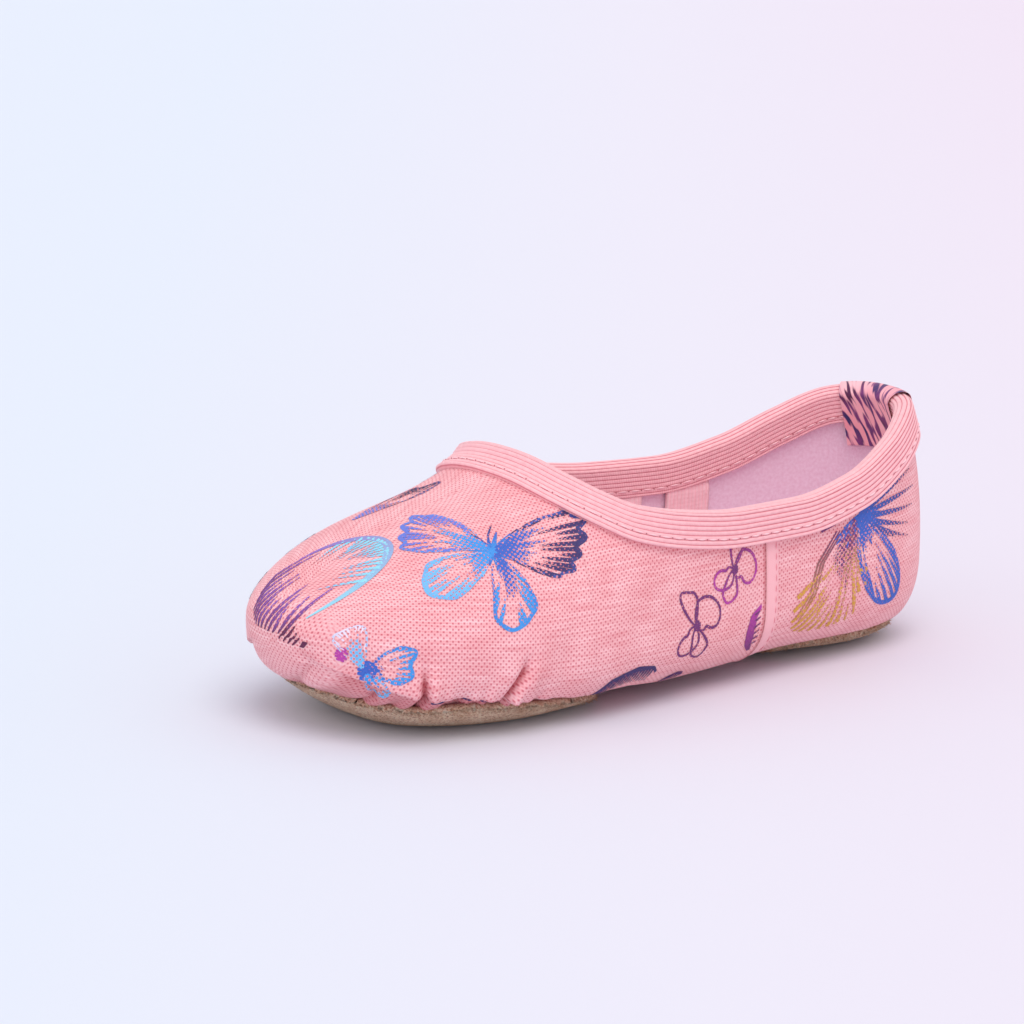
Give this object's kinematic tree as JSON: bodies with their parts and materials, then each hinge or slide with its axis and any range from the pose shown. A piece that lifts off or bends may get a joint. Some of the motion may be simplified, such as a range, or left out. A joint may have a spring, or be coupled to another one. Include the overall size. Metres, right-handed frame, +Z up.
{
  "type": "ballet slipper",
  "caption": "Low soft ballet slipper for a child, open at a bound collar, with separate suede pads under forefoot and heel.",
  "frame": {"origin": "on the floor, midway between heel and toe", "axes": "+X from heel to toe, +Y the left-hand side of the shoe, +Z up"},
  "size_m": [0.1611, 0.0632, 0.0523],
  "materials": {
    "canvas": "matte",
    "elastic": "matte",
    "printed_tab": "matte",
    "suede": "matte",
    "lining": "matte"
  },
  "bodies": {
    "root": {"upper": "canvas", "collar_binding": "elastic", "heel_tab": "printed_tab", "forefoot_sole": "suede", "heel_sole": "suede", "insole": "lining", "instep_strap_a": "elastic", "instep_strap_b": "elastic"}
  },
  "joints": []
}
